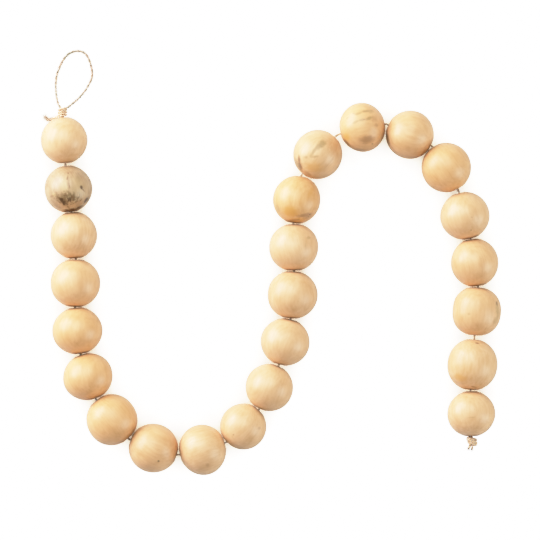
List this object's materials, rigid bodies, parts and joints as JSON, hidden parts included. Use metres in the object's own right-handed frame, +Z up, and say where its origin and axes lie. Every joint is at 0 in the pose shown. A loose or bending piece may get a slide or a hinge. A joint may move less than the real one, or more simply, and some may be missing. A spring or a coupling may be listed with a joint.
{
  "type": "wood bead garland",
  "caption": "Garland of large natural wood beads on two-ply twine, laid in a loose S curve, with a knotted hanging loop at one end and a knot at the other.",
  "frame": {"origin": "middle of the box of the beads and knots, on the surface that the garland lies on", "axes": "+X to the right of the laid garland, +Y towards the hanging loop, +Z up"},
  "size_m": [0.3798, 0.3512, 0.0416],
  "materials": {
    "blond_wood": "smooth turned, unvarnished, soft sheen",
    "grey_wood": "smooth turned, greyer grain, soft sheen",
    "golden_wood": "smooth turned, warmer grain, soft sheen",
    "twine": "two-ply twisted natural fibre, dull and slightly hairy"
  },
  "bodies": {
    "root": {"bead_01": "blond_wood", "bead_02": "grey_wood", "bead_03": "blond_wood", "bead_04": "blond_wood", "bead_05": "blond_wood", "bead_06": "blond_wood", "bead_07": "blond_wood", "bead_08": "blond_wood", "bead_09": "blond_wood", "bead_10": "blond_wood", "bead_11": "blond_wood", "bead_12": "blond_wood", "bead_13": "blond_wood", "bead_14": "blond_wood", "bead_15": "golden_wood", "bead_16": "grey_wood", "bead_17": "blond_wood", "bead_18": "blond_wood", "bead_19": "blond_wood", "bead_20": "blond_wood", "bead_21": "blond_wood", "bead_22": "blond_wood", "bead_23": "golden_wood", "bead_24": "blond_wood", "twine_through_beads": "twine", "loop_knot": "twine", "end_knot": "twine", "hanging_loop": "twine"}
  },
  "joints": []
}
